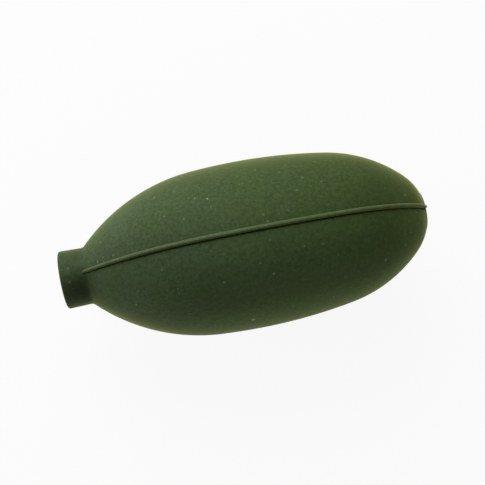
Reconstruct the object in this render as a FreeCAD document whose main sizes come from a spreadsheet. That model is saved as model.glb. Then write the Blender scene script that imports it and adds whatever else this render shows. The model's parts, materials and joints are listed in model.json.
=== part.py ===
"""Rubber hand bulb with an inlet check valve, drawn as a parametric FreeCAD document in millimetres.

The bulb's axis is X. The origin is the centre of the neck's mouth, and the far end points along +X.
The two moulded halves meet in the vertical XZ plane, where a raised bead runs along the top and the
bottom. Every curved wall follows one outline, drawn at a chosen depth below the outer surface: a
shoulder arc, two crown arcs, a far shoulder arc and the rounded tip, each tangent to the next.
"""

import FreeCAD, Part
import math
import os
import Sketcher
from FreeCAD import Vector

SIZES = {
    "bulb_radius": (25.0, "outer radius at the crown"),
    "bulb_length": (110.0, "from the neck's mouth to the far pole"),
    "crown_station": (56.0, "distance of the widest place from the mouth"),
    "shoulder_station": (43.0, "distance from the mouth to where the shoulder joins the crown"),
    "shoulder_drop": (0.45, "how far that join lies below the crown"),
    "far_shoulder_station": (27.0, "distance from the far pole to where the far shoulder starts"),
    "far_shoulder_drop": (2.25, "how far that join lies below the crown"),
    "tip_arc": (16.2, "radius of the rounded far end"),
    "wall": (2.6, "thickness of the rubber wall"),
    "neck_length": (7.5, "visible length of the neck"),
    "neck_mouth_radius": (8.6, "outer radius of the neck at its mouth"),
    "neck_root_radius": (8.4, "outer radius of the neck where the shoulder starts"),
    "neck_rim_round": (0.7, "rounding of the neck's outer rim"),
    "neck_bore_radius": (5.0, "radius of the neck's bore"),
    "neck_bore_length": (18.0, "length of the neck's bore"),
    "neck_flange_radius": (13.0, "outer radius of the neck's flange inside the shoulder"),
    "neck_flange_lip": (1.8, "thickness of that flange at its edge"),
    "bead_width": (1.7, "width of the raised bead"),
    "bead_height": (0.8, "height of the bead above the wall"),
    "bead_round": (0.75, "rounding of the bead's two edges"),
    "wall_gap": (0.3, "gap between a moving wall and its neighbours"),
    "bond_gap": (0.05, "gap between bonded or pressed pieces"),
    "land_depth": (1.1, "how far the valve's face lies inside the rounded pole"),
    "socket_face_radius": (6.0, "radius of the valve socket where it shows"),
    "socket_radius": (9.5, "radius of the valve socket inside the bulb"),
    "socket_length": (10.0, "length of the valve socket along the axis"),
    "socket_bevel": (1.5, "bevel on the socket's inner edge"),
    "flange_radius": (5.0, "radius of the valve's outer flange"),
    "flange_thickness": (1.0, "thickness of that flange"),
    "stem_radius": (4.0, "radius of the valve's stem"),
    "barb_height": (0.8, "height of the valve's barb above its stem"),
    "barb_length": (2.0, "length of that barb"),
    "recess_radius": (3.2, "radius of the recess for the screen and the cap"),
    "recess_depth": (3.2, "depth of that recess"),
    "seat_hole_radius": (1.3, "radius of the hole that the ball closes"),
    "seat_web": (1.2, "thickness of the web around that hole"),
    "ball_radius": (2.0, "radius of the ball"),
    "ball_side_gap": (0.35, "gap between the ball and its chamber"),
    "ball_seat_gap": (0.02, "gap between the resting ball and its conical seat"),
    "ball_travel": (1.5, "how far the ball can lift off its seat"),
    "retainer_radius": (2.8, "radius of the perforated retainer"),
    "retainer_thickness": (0.6, "thickness of the retainer"),
    "retainer_hole_radius": (0.55, "radius of the retainer's air holes"),
    "retainer_hole_circle": (1.6, "radius of the circle that those holes lie on"),
    "retainer_hole_count": (6, "number of those holes"),
    "screen_thickness": (0.3, "thickness of the dust screen"),
    "screen_hole_radius": (0.22, "radius of the screen's openings"),
    "screen_hole_circle": (1.0, "radius of the circle that those openings lie on"),
    "screen_hole_count": (8, "number of those openings"),
    "cap_hole_radius": (1.5, "radius of the cap's air hole"),
    "cap_drop": (0.1, "how far the cap lies below the valve's face"),
    "cap_slot_width": (0.8, "width of the slot that turns the cap"),
    "cap_slot_depth": (0.7, "depth of that slot"),
}

NORMAL = Vector(0, 0, 1)
UP = Vector(0, 1, 0)
RIGHT, LEFT, CENTRE = range(1, 4)  # an arc's right end, its left end and its centre
START, END = range(1, 3)  # a line's two ends
AXIS = -1  # the sketch's own horizontal axis, whose start is the sketch's origin


class Length:
    """A number together with the spreadsheet formula that gives it."""

    def __init__(self, number, formula):
        self.number = number
        self.formula = formula

    def __add__(self, other):
        return Length(self.number + other.number, f"({self.formula} + {other.formula})")

    def __sub__(self, other):
        return Length(self.number - other.number, f"({self.formula} - {other.formula})")

    def __mul__(self, factor):
        return Length(self.number * factor, f"({self.formula} * {factor})")


NONE = Length(0.0, "0")


def make_sizes(doc):
    """Writes the driving dimensions into the spreadsheet and returns them by name."""
    sheet = doc.addObject("Spreadsheet::Sheet", "Sizes")
    for row, (alias, (number, note)) in enumerate(SIZES.items(), start=1):
        sheet.set(f"A{row}", note)
        sheet.set(f"B{row}", str(number))
        sheet.setAlias(f"B{row}", alias)
    doc.recompute()
    return {alias: Length(float(getattr(sheet, alias)), f"Sizes.{alias}") for alias in SIZES}


doc = FreeCAD.newDocument("hand_bulb")
size = make_sizes(doc)


# --- places that several pieces share ---------------------------------------------------------

valve_face = size["bulb_length"] - size["land_depth"]
socket_end = valve_face - size["socket_length"]
recess_floor = valve_face - size["recess_depth"]
seat_edge = recess_floor - size["seat_web"]
chamber_radius = size["ball_radius"] + size["ball_side_gap"]
cone_end = seat_edge - (chamber_radius - size["seat_hole_radius"])
ball_reach = (size["ball_radius"] + size["ball_seat_gap"]) * math.sqrt(2)  # the seat's cone is 45 degrees
ball_centre = seat_edge + size["seat_hole_radius"] - ball_reach
retainer_face = ball_centre - size["ball_radius"] - size["ball_travel"] - size["ball_seat_gap"]
tip_centre = size["bulb_length"] - size["tip_arc"]
neck_root = (size["neck_length"], size["neck_root_radius"])
shoulder_join = (size["shoulder_station"], size["bulb_radius"] - size["shoulder_drop"])
crown = (size["crown_station"], size["bulb_radius"])
far_shoulder_join = (
    size["bulb_length"] - size["far_shoulder_station"],
    size["bulb_radius"] - size["far_shoulder_drop"],
)


# --- sketches ---------------------------------------------------------------------------------


def origin_plane(body, role):
    """One of the body's own origin planes."""
    return next(feature for feature in body.Origin.OriginFeatures if feature.Role == role)


def new_body(name):
    """A body whose label names its file."""
    body = doc.addObject("PartDesign::Body", name)
    body.Label = name
    return body


def new_sketch(body, role="XZ_Plane", station=NONE):
    """A sketch on one of the body's own planes, moved out along that plane's normal."""
    sketch = body.newObject("Sketcher::SketchObject", f"{body.Name}_sketch")
    sketch.AttachmentSupport = [(origin_plane(body, role), "")]
    sketch.MapMode = "FlatFace"
    sketch.setExpression("AttachmentOffset.Base.z", station.formula)
    return sketch


def tie(sketch, *constraint):
    """Adds a constraint that has no dimension."""
    sketch.addConstraint(Sketcher.Constraint(*constraint))


def measure(sketch, length, *constraint):
    """Adds a dimension that follows the spreadsheet."""
    index = sketch.addConstraint(Sketcher.Constraint(*constraint, length.number))
    sketch.setExpression(f"Constraints[{index}]", length.formula)


def position(spot):
    """The sketch position of a pair of lengths, along the axis and up."""
    along, up = spot
    return Vector(along.number, up.number, 0)


def place(sketch, item, point, along, up):
    """Fixes a point at a distance along the axis and a height above it."""
    measure(sketch, along, "DistanceX", AXIS, START, item, point)
    measure(sketch, up, "DistanceY", AXIS, START, item, point)


def line(sketch, start, end):
    """Draws a line between two sketch positions."""
    return sketch.addGeometry(Part.LineSegment(start, end), False)


def arc(sketch, circle, left, right, guide=False):
    """Draws the part of a circle between two positions on it, over the top."""
    angles = [math.atan2(point.y - circle.Center.y, point.x - circle.Center.x) for point in (right, left)]
    return sketch.addGeometry(Part.ArcOfCircle(circle, *angles), guide)


def polygon(sketch, corners):
    """Draws a closed polygon whose corners are pairs of lengths, along the axis and up."""
    points = [position(corner) for corner in corners]
    sides = [line(sketch, point, after) for point, after in zip(points, points[1:] + points[:1])]
    for side, after, corner in zip(sides, sides[1:] + sides[:1], corners):
        tie(sketch, "Coincident", side, END, after, START)
        place(sketch, side, START, *corner)


def circle(sketch, radius, height=NONE):
    """Draws a circle above the sketch's origin."""
    item = sketch.addGeometry(Part.Circle(Vector(0, height.number, 0), NORMAL, radius.number), False)
    measure(sketch, radius, "Radius", item)
    place(sketch, item, CENTRE, NONE, height)


# --- the outline of the bulb ------------------------------------------------------------------


def toward(start, through, distance):
    """The position at a distance from start, in the direction of another position."""
    return start + (through - start).normalize() * distance


def on_circle(circle, height, side):
    """The position on a circle at a height above the axis, left (-1) or right (1) of its centre."""
    rise = height.number - circle.Center.y
    return Vector(circle.Center.x + side * math.sqrt(circle.Radius**2 - rise**2), height.number, 0)


def touching_circle(touch, outward, centre, radius=0.0):
    """The circle whose surface faces outward at a position and that touches a smaller circle inside it.

    With no radius it passes through the smaller circle's centre.
    """
    away = touch - centre
    reach = (away.dot(away) - radius**2) / (2 * (away.dot(outward) - radius))
    return Part.Circle(touch - outward * reach, NORMAL, reach)


def outline_circles(depth=NONE):
    """The circles of the outline's five arcs at a depth, in order from the neck to the tip."""
    joins = [position(join) for join in (shoulder_join, far_shoulder_join)]
    crowns = [touching_circle(position(crown), UP, join) for join in joins]
    faces = [(join - circle.Center).normalize() for circle, join in zip(crowns, joins)]
    tip = Part.Circle(Vector(tip_centre.number, 0, 0), NORMAL, size["tip_arc"].number)
    shoulder = touching_circle(joins[0], faces[0], position(neck_root))
    far_shoulder = touching_circle(joins[1], faces[1], tip.Center, tip.Radius)
    circles = [shoulder, *crowns, far_shoulder, tip]
    return [Part.Circle(circle.Center, NORMAL, circle.Radius - depth.number) for circle in circles]


def outline_arcs(sketch, depth, first_height, last_height, guide):
    """Draws the outline's five arcs at a depth, between two heights above the axis."""
    circles = outline_circles(depth)
    shoulder, neck_crown, far_crown, far_shoulder, tip = circles
    ends = [
        on_circle(shoulder, first_height, -1),
        toward(neck_crown.Center, position(shoulder_join), neck_crown.Radius),
        toward(neck_crown.Center, position(crown), neck_crown.Radius),
        toward(far_crown.Center, position(far_shoulder_join), far_crown.Radius),
        toward(far_shoulder.Center, tip.Center, far_shoulder.Radius),
        on_circle(tip, last_height, 1),
    ]
    return [arc(sketch, *parts, guide) for parts in zip(circles, ends, ends[1:])]


def outer_outline(sketch):
    """Draws the outline of the outer surface as guide lines, from the neck's root to the far pole."""
    arcs = outline_arcs(sketch, NONE, size["neck_root_radius"], NONE, guide=True)
    shoulder, neck_crown, far_crown, _, tip = arcs
    for item, after in zip(arcs, arcs[1:]):
        tie(sketch, "Tangent", item, RIGHT, after, LEFT)
    tie(sketch, "Vertical", neck_crown, RIGHT, neck_crown, CENTRE)
    tie(sketch, "PointOnObject", tip, RIGHT, AXIS)
    place(sketch, shoulder, LEFT, *neck_root)
    place(sketch, neck_crown, LEFT, *shoulder_join)
    place(sketch, neck_crown, RIGHT, *crown)
    place(sketch, far_crown, RIGHT, *far_shoulder_join)
    place(sketch, tip, CENTRE, tip_centre, NONE)
    measure(sketch, size["tip_arc"], "Radius", tip)
    return arcs


def outline(sketch, guides, depth, first_height, last_height, guide=False):
    """Draws the outline at a depth below the outer surface, each arc about its guide's centre.

    first_height and last_height are its distances from the axis at the two ends. Returns its arcs.
    """
    arcs = outline_arcs(sketch, depth, first_height, last_height, guide)
    shoulder, neck_crown, far_crown, far_shoulder, tip = arcs
    for item, outer in zip(arcs, guides):
        tie(sketch, "Coincident", item, CENTRE, outer, CENTRE)
    tie(sketch, "Tangent", shoulder, RIGHT, neck_crown, LEFT)
    tie(sketch, "Vertical", neck_crown, RIGHT, neck_crown, CENTRE)
    tie(sketch, "Coincident", neck_crown, RIGHT, far_crown, LEFT)
    tie(sketch, "Tangent", far_crown, RIGHT, far_shoulder, LEFT)
    tie(sketch, "Tangent", far_shoulder, RIGHT, tip, LEFT)
    measure(sketch, size["bulb_radius"] - depth, "DistanceY", AXIS, START, neck_crown, RIGHT)
    measure(sketch, first_height, "DistanceY", AXIS, START, shoulder, LEFT)
    measure(sketch, last_height, "DistanceY", AXIS, START, tip, RIGHT)
    return arcs


def band(sketch, outer_depth, inner_depth, first_height, last_height):
    """Draws the closed section of a wall between two depths."""
    guides = outer_outline(sketch)
    outer = outline(sketch, guides, outer_depth, first_height, last_height)
    inner = outline(sketch, guides, inner_depth, first_height, last_height)
    for which, end in ((0, LEFT), (-1, RIGHT)):
        side = line(sketch, sketch.getPoint(outer[which], end), sketch.getPoint(inner[which], end))
        tie(sketch, "Coincident", side, START, outer[which], end)
        tie(sketch, "Coincident", side, END, inner[which], end)


# --- features ---------------------------------------------------------------------------------


def revolve(body, sketch, angle=360):
    """Turns a section about the bulb's axis; a half turn covers the side of +Y."""
    revolution = body.newObject("PartDesign::Revolution", f"{body.Name}_turned")
    revolution.Profile = sketch
    revolution.ReferenceAxis = (sketch, ["H_Axis"])
    revolution.Angle = angle
    revolution.Reversed = True
    doc.recompute()
    return revolution


def pad(body, sketch, length, both_ways=False):
    """Raises a sketch by a length, along its normal or half each way."""
    feature = body.newObject("PartDesign::Pad", f"{body.Name}_pad")
    feature.Profile = sketch
    feature.SideType = "Symmetric" if both_ways else "One side"
    feature.setExpression("Length", length.formula)
    doc.recompute()
    return feature


def pocket(body, sketch, depth=None, along_normal=False):
    """Cuts a sketch out against its normal, or along it; with no depth it cuts through everything."""
    before = body.Shape.Volume
    feature = body.newObject("PartDesign::Pocket", f"{body.Name}_pocket")
    feature.Profile = sketch
    feature.Reversed = along_normal
    if depth is None:
        feature.Type = "ThroughAll"
    else:
        feature.setExpression("Length", depth.formula)
    doc.recompute()
    if body.Shape.Volume >= before:
        raise RuntimeError(f"{feature.Name} cuts nothing")
    return feature


def pattern_round(body, feature, sketch, count):
    """Repeats a feature round the sketch's normal."""
    pattern = body.newObject("PartDesign::PolarPattern", f"{body.Name}_pattern")
    pattern.Originals = [feature]
    pattern.Axis = (sketch, ["N_Axis"])
    pattern.Angle = 360
    pattern.setExpression("Occurrences", count.formula)
    body.Tip = pattern


def mirrored(name, source, normal):
    """The mirror image of a piece, as a piece of its own."""
    copy = doc.addObject("Part::Mirroring", name)
    copy.Label = name
    copy.Source = source
    copy.Normal = normal
    return copy


# --- the rubber pieces ------------------------------------------------------------------------


def make_shell():
    """One moulded half of the wall, cut back from the seam to leave room for the bead's web."""
    body = new_body("left_shell")
    section = new_sketch(body)
    neck_opening = size["neck_root_radius"] + size["wall_gap"]
    tip_opening = size["socket_face_radius"] + size["wall_gap"]
    band(section, NONE, size["wall"], neck_opening, tip_opening)
    revolve(body, section, 180)
    seam = new_sketch(body)
    low = NONE - size["bulb_length"]
    far = size["bulb_length"] * 2
    polygon(seam, [(low, low), (far, low), (far, far), (low, far)])
    pocket(body, seam, size["bead_width"] * 0.5 + size["wall_gap"])
    return body


def make_bead():
    """The raised bead with the web of rubber that joins the two halves under it."""
    body = new_body("upper_seam_bead")
    section = new_sketch(body)
    neck_end = size["neck_root_radius"] + size["bond_gap"]
    tip_end = size["socket_face_radius"] + size["bond_gap"]
    band(section, NONE - size["bead_height"], size["wall"], neck_end, tip_end)
    web = pad(body, section, size["bead_width"], both_ways=True)
    rounding = body.newObject("PartDesign::Fillet", "upper_seam_bead_round")
    rounding.Base = (web, rim_edges(web.Shape))
    rounding.setExpression("Radius", "min(Sizes.bead_round; Sizes.bead_width * 0.45)")
    return body


def rim_edges(web):
    """Names of the edges on both sides of the web's outer rim."""
    middle = Vector(size["crown_station"].number, 0, 0)
    rim = []
    for face in web.Faces:
        normal = face.normalAt(*face.Surface.parameter(face.CenterOfMass))
        if abs(normal.y) < 0.5 and normal.dot(face.CenterOfMass - middle) > 0:
            rim += face.Edges
    names = []
    for number, edge in enumerate(web.Edges, start=1):
        across = abs(edge.tangentAt(edge.FirstParameter).y) > 0.5
        if not across and any(edge.isSame(side) for side in rim):
            names.append(f"Edge{number}")
    return names


def make_neck():
    """The neck: a thick stub with a flange that lies against the inside of the shoulder."""
    body = new_body("neck_tube")
    section = new_sketch(body)
    guides = outer_outline(section)
    depth = size["wall"] + size["wall_gap"]
    ends = (size["neck_root_radius"], size["socket_face_radius"])
    seat = outline(section, guides, depth, *ends, guide=True)[0]
    seat_circle = outline_circles(depth)[0]
    bore_mouth = (NONE, size["neck_bore_radius"])
    mouth = (NONE, size["neck_mouth_radius"])
    bore_end = (size["neck_bore_length"], size["neck_bore_radius"])
    heel = on_circle(seat_circle, size["neck_root_radius"], -1)
    edge = on_circle(seat_circle, size["neck_flange_radius"], -1)
    lip = toward(edge, seat_circle.Center, size["neck_flange_lip"].number)
    bore_face = line(section, position(bore_mouth), position(mouth))
    taper = line(section, position(mouth), position(neck_root))
    barrel = line(section, position(neck_root), heel)
    contact = arc(section, seat_circle, heel, edge)
    rim = line(section, edge, lip)
    back = line(section, lip, position(bore_end))
    bore = line(section, position(bore_end), position(bore_mouth))
    for item, after in ((bore_face, taper), (taper, barrel), (rim, back), (back, bore), (bore, bore_face)):
        tie(section, "Coincident", item, END, after, START)
    tie(section, "Coincident", barrel, END, contact, LEFT)
    tie(section, "Coincident", contact, CENTRE, seat, CENTRE)
    tie(section, "Coincident", contact, LEFT, seat, LEFT)
    tie(section, "Perpendicular", contact, RIGHT, rim, START)
    measure(section, size["neck_flange_radius"], "DistanceY", AXIS, START, rim, START)
    measure(section, size["neck_flange_lip"], "Distance", rim)
    place(section, bore_face, START, *bore_mouth)
    place(section, taper, START, *mouth)
    place(section, barrel, START, *neck_root)
    place(section, bore, START, *bore_end)
    turned = revolve(body, section)
    rounding = body.newObject("PartDesign::Fillet", "neck_rim")
    rounding.Base = (turned, [circle_edge(turned.Shape, 0, size["neck_mouth_radius"].number)])
    rounding.setExpression("Radius", "Sizes.neck_rim_round")
    return body


def circle_edge(shape, station, radius):
    """The name of the round edge at a station along the axis with a radius."""
    for number, edge in enumerate(shape.Edges, start=1):
        if isinstance(edge.Curve, Part.Circle) and abs(edge.Curve.Center.x - station) < 1e-6:
            if abs(edge.Curve.Radius - radius) < 1e-6:
                return f"Edge{number}"
    raise RuntimeError(f"no round edge at {station} with radius {radius}")


def make_socket():
    """The thick rubber ring at the far end that grips the valve."""
    body = new_body("valve_socket")
    section = new_sketch(body)
    radius = size["tip_arc"] - size["wall"] - size["wall_gap"]
    inside = Part.Circle(Vector(tip_centre.number, 0, 0), NORMAL, radius.number)
    heel = on_circle(inside, size["socket_face_radius"], 1)
    edge = on_circle(inside, size["socket_radius"], 1)
    corners = [
        (socket_end + size["socket_bevel"], size["socket_radius"]),
        (socket_end, size["socket_radius"] - size["socket_bevel"]),
        (socket_end, size["stem_radius"] + size["bond_gap"]),
        (valve_face - size["flange_thickness"] - size["bond_gap"], size["stem_radius"] + size["bond_gap"]),
        (valve_face - size["flange_thickness"] - size["bond_gap"], size["flange_radius"] + size["bond_gap"]),
        (valve_face, size["flange_radius"] + size["bond_gap"]),
        (valve_face, size["socket_face_radius"]),
    ]
    places = [edge, *[position(corner) for corner in corners], heel]
    sides = [line(section, *pair) for pair in zip(places, places[1:])]
    contact = arc(section, inside, edge, heel)
    for side, after in zip(sides, sides[1:]):
        tie(section, "Coincident", side, END, after, START)
    for side, corner in zip(sides[1:], corners):
        place(section, side, START, *corner)
    tie(section, "Coincident", sides[-1], END, contact, RIGHT)
    tie(section, "Coincident", contact, LEFT, sides[0], START)
    tie(section, "Horizontal", sides[0])
    tie(section, "Horizontal", sides[-1])
    place(section, contact, CENTRE, tip_centre, NONE)
    measure(section, radius, "Radius", contact)
    revolve(body, section)
    return body


# --- the valve --------------------------------------------------------------------------------


def make_ring(name, corners):
    """A turned piece whose section is a polygon."""
    body = new_body(name)
    section = new_sketch(body)
    polygon(section, corners)
    revolve(body, section)
    return body


def make_valve_body():
    """The turned metal body: flange, stem, barb, screen recess, conical seat and ball chamber."""
    barb_start = socket_end - size["bond_gap"]
    barb_end = barb_start - size["barb_length"]
    retainer_bore = size["retainer_radius"] + size["bond_gap"]
    flange_back = valve_face - size["flange_thickness"]
    return make_ring(
        "valve_body",
        [
            (valve_face, size["recess_radius"]),
            (valve_face, size["flange_radius"]),
            (flange_back, size["flange_radius"]),
            (flange_back, size["stem_radius"]),
            (barb_start, size["stem_radius"]),
            (barb_start, size["stem_radius"] + size["barb_height"]),
            (barb_end, size["stem_radius"]),
            (barb_end, retainer_bore),
            (retainer_face, retainer_bore),
            (retainer_face, chamber_radius),
            (cone_end, chamber_radius),
            (seat_edge, size["seat_hole_radius"]),
            (recess_floor, size["seat_hole_radius"]),
            (recess_floor, size["recess_radius"]),
        ],
    )


def make_ball():
    """The ball, resting in its conical seat."""
    ball = doc.addObject("Part::Sphere", "valve_ball")
    ball.Label = "valve_ball"
    ball.setExpression("Radius", size["ball_radius"].formula)
    ball.setExpression("Placement.Base.x", ball_centre.formula)
    return ball


def make_perforated_disc(name, station, radius, thickness, hole_radius, hole_circle, hole_count):
    """A flat disc across the axis with a ring of holes."""
    body = new_body(name)
    rim = new_sketch(body, "YZ_Plane", station)
    circle(rim, radius)
    pad(body, rim, thickness)
    hole = new_sketch(body, "YZ_Plane", station)
    circle(hole, hole_radius, hole_circle)
    pattern_round(body, pocket(body, hole, along_normal=True), hole, hole_count)
    return body


def make_retainer():
    """The perforated disc that keeps the ball in its chamber and lets air past."""
    return make_perforated_disc(
        "ball_retainer",
        retainer_face - size["retainer_thickness"] - size["bond_gap"],
        size["retainer_radius"],
        size["retainer_thickness"],
        size["retainer_hole_radius"],
        size["retainer_hole_circle"],
        size["retainer_hole_count"],
    )


def make_screen():
    """The dust screen on the floor of the recess."""
    return make_perforated_disc(
        "dust_screen",
        recess_floor + size["bond_gap"],
        size["recess_radius"] - size["bond_gap"],
        size["screen_thickness"],
        size["screen_hole_radius"],
        size["screen_hole_circle"],
        size["screen_hole_count"],
    )


def make_cap():
    """The threaded ring that holds the screen down, with an air hole and a slot to turn it by."""
    back = recess_floor + size["bond_gap"] * 2 + size["screen_thickness"]
    front = valve_face - size["cap_drop"]
    radius = size["recess_radius"] - size["bond_gap"]
    hole = size["cap_hole_radius"]
    body = make_ring("inlet_cap", [(back, hole), (back, radius), (front, radius), (front, hole)])
    slot = new_sketch(body, "YZ_Plane", front)
    reach = size["recess_radius"]
    half = size["cap_slot_width"] * 0.5
    polygon(slot, [(NONE - reach, NONE - half), (reach, NONE - half), (reach, half), (NONE - reach, half)])
    pocket(body, slot, size["cap_slot_depth"])
    return body


# --- the assembly -----------------------------------------------------------------------------


def build():
    """Makes every piece in turn."""
    shell = make_shell()
    bead = make_bead()
    return [
        shell,
        mirrored("right_shell", shell, Vector(0, 1, 0)),
        bead,
        mirrored("lower_seam_bead", bead, Vector(0, 0, 1)),
        make_neck(),
        make_socket(),
        make_valve_body(),
        make_ball(),
        make_retainer(),
        make_screen(),
        make_cap(),
    ]


def check(pieces):
    """Stops if any object of the document failed or any piece has no sound shape."""
    for item in doc.Objects:
        if {"Invalid", "Error"} & set(item.State):
            raise RuntimeError(f"{item.Label} failed: {item.State}")
    for piece in pieces:
        if piece.Shape.isNull() or not piece.Shape.isValid() or not piece.Shape.Solids:
            raise RuntimeError(f"{piece.Label} has no sound solid")


def export(pieces):
    """Writes one STEP file for each piece."""
    os.makedirs("parts", exist_ok=True)
    for piece in pieces:
        piece.Shape.exportStep(os.path.join("parts", f"{piece.Label}.step"))
        box = piece.Shape.optimalBoundingBox(False, False)
        print(
            f"{piece.Label:16s} {len(piece.Shape.Solids)} solid {piece.Shape.Volume:9.2f} mm3"
            f"  x {box.XMin:7.2f} {box.XMax:7.2f}  y {box.YMin:7.2f} {box.YMax:7.2f}"
            f"  z {box.ZMin:7.2f} {box.ZMax:7.2f}"
        )


pieces = build()
doc.recompute()
check(pieces)
export(pieces)
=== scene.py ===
"""The looks of a rubber hand bulb with an inlet valve, laid out as a Blender add-on and run as a script.

The bulb's axis is X, the centre of its neck's mouth is the origin, and the two seam beads run along the
top and the bottom. Lengths are in metres.
"""

import json
import math
from itertools import accumulate

import bmesh
import bpy
from bpy.props import FloatProperty, FloatVectorProperty, IntProperty, PointerProperty
from mathutils import Matrix, Vector


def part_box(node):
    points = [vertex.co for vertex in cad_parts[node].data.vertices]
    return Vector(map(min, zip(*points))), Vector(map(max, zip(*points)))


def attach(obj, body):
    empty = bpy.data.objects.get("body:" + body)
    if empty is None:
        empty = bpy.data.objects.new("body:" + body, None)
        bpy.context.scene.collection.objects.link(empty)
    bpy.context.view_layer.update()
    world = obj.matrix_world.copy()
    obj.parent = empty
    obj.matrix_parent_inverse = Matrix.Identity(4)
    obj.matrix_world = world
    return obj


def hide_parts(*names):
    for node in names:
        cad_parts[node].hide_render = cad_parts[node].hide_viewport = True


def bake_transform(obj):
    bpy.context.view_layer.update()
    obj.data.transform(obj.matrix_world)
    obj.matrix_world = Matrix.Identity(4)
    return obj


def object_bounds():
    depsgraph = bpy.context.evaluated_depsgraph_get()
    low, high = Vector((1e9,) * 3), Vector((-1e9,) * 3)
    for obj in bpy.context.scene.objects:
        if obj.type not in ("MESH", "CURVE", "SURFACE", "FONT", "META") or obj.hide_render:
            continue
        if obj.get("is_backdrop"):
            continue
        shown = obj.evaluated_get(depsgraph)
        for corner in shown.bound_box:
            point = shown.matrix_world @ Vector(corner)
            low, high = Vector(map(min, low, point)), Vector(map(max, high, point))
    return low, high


bl_info = {
    "name": "Rubber hand bulb",
    "version": (1, 0, 0),
    "blender": (4, 5, 0),
    "location": "View3D > Sidebar > Hand bulb",
    "description": "Dresses the frame of a rubber hand bulb with its skins, beads, neck and valve",
    "category": "Object",
}

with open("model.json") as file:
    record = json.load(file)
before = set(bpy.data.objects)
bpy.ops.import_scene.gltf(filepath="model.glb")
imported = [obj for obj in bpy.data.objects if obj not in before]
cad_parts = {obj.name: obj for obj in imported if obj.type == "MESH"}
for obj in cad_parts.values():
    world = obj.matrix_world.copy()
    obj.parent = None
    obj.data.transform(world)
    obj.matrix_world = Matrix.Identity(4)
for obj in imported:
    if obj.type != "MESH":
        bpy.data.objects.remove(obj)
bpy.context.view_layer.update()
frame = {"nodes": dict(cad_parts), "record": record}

MM = 0.001
ROUNDING_DIGITS = 5  # a hundredth of a millimetre
UP = Vector((0, 1))  # up in a section, whose first direction is the bulb's axis
SHARP_ANGLE = math.radians(38)
FLAT_ANGLE = math.radians(0.5)  # faces that meet at less are parts of one flat face
RIDGE_STEPS = 16  # runs across the rounded crest of a bead
SIDES = {"left": 1, "right": -1}  # which way along Y
HEIGHTS = {"upper": 1, "lower": -1}  # which way along Z
RUBBER_BODY = "bulb_frame"
WELD = MM / 1000  # points nearer than this are one
FLOOR_HALF = 1.5  # half the side of the floor
WHITE = (1, 1, 1)


def low(node):
    """The lowest corner of a piece of the frame."""
    return Vector([round(value, ROUNDING_DIGITS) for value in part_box(node)[0]])


def high(node):
    """The highest corner of a piece of the frame."""
    return Vector([round(value, ROUNDING_DIGITS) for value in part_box(node)[1]])


# --- settings that a user would change ---


def maker(make=FloatProperty, **settings):
    """A function that makes properties of one kind from a name, a description and a default."""

    def setting(name, description, default):
        return make(name=name, description=description, default=default, **settings)

    return setting


length = maker(min=0, precision=5, unit="LENGTH")
shift = maker(precision=5, unit="LENGTH")
share = maker(min=0, max=1, subtype="FACTOR")
number = maker(min=0)
whole = maker(IntProperty, min=16)
colour = maker(FloatVectorProperty, size=3, min=0, max=1, subtype="COLOR")


def turn(name, description, degrees):
    """A property that holds an angle given in degrees."""
    return maker(subtype="ANGLE")(name, description, math.radians(degrees))


class BulbForm(bpy.types.PropertyGroup):
    """Sizes of the moulded rubber."""

    bulb_radius: length("Bulb radius", "Outer radius at the crown", round(high("left_shell").y, 4))
    land_depth: length("Land depth", "How far the valve's land lies inside the rounded pole", 1.1 * MM)
    crown_station: length("Crown station", "Distance of the widest place from the mouth", 56 * MM)
    shoulder_station: length("Shoulder station", "Where the shoulder joins the crown", 43 * MM)
    shoulder_drop: length("Shoulder drop", "How far that join lies below the crown", 0.45 * MM)
    far_shoulder_station: length("Far shoulder", "Where the far shoulder starts, from the pole", 27 * MM)
    far_shoulder_drop: length("Far shoulder drop", "How far that join lies below the crown", 2.25 * MM)
    tip_arc: length("Tip radius", "Radius of the rounded far end", 16.2 * MM)
    wall: length("Wall", "Thickness of the rubber", 2.6 * MM)
    neck_length: length("Neck length", "Visible length of the neck", 7.5 * MM)
    neck_mouth_radius: length("Mouth radius", "Outer radius of the neck's mouth", 8.6 * MM)
    neck_root_radius: length("Root radius", "Outer radius of the neck's root", 8.4 * MM)
    neck_fillet: length("Neck fillet", "Radius of the hollow where the neck meets the shoulder", 1.8 * MM)
    neck_rim_round: length("Rim rounding", "Rounding of the neck's outer rim", 0.7 * MM)
    neck_flange: length("Neck flange", "Radius of the flange inside, clear of the squeezed wall", 11 * MM)
    lip_round: length("Lip rounding", "Rounding of the small rubber lips", 0.25 * MM)
    mesh_step: length("Mesh step", "Spacing of the points along the skins", 0.8 * MM)
    fine_step: length("Fine step", "Spacing of the points near the ends of the skins", 0.1 * MM)
    fine_reach: length("Fine reach", "How far round the valve the finer points reach", 1.6 * MM)
    still_width: length("Still width", "How far from the seam the wall stays still when squeezed", 9 * MM)
    skin_turns: whole("Skin columns", "Columns of faces round each half", 112)


class BeadForm(bpy.types.PropertyGroup):
    """Sizes of the raised seam beads."""

    width: length("Width", "Width of the bead", 1.2 * MM)
    height: length("Height", "Height of the bead above the wall", 0.8 * MM)
    root: length("Root", "How deep the bead's wedge reaches into the wall", 2.1 * MM)
    groove: length("Groove", "Width of the groove along the bead's right side", 0.65 * MM)
    groove_depth: length("Groove depth", "Depth of that groove", 0.8 * MM)
    offset: length("Offset", "How far the bead lies to the left of the seam's middle", 0.05 * MM)
    lean: share("Lean", "How far the crest leans to the right, as a share of half the width", 0.35)
    start_scale: share("Start scale", "Size of the bead beside the neck, as a share of its full size", 0.8)
    growth: length("Growth", "Length over which the bead grows to its full size", 26 * MM)
    rounding: length("Rounding", "Length of the bead's rounded ends", 0.6 * MM)


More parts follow.
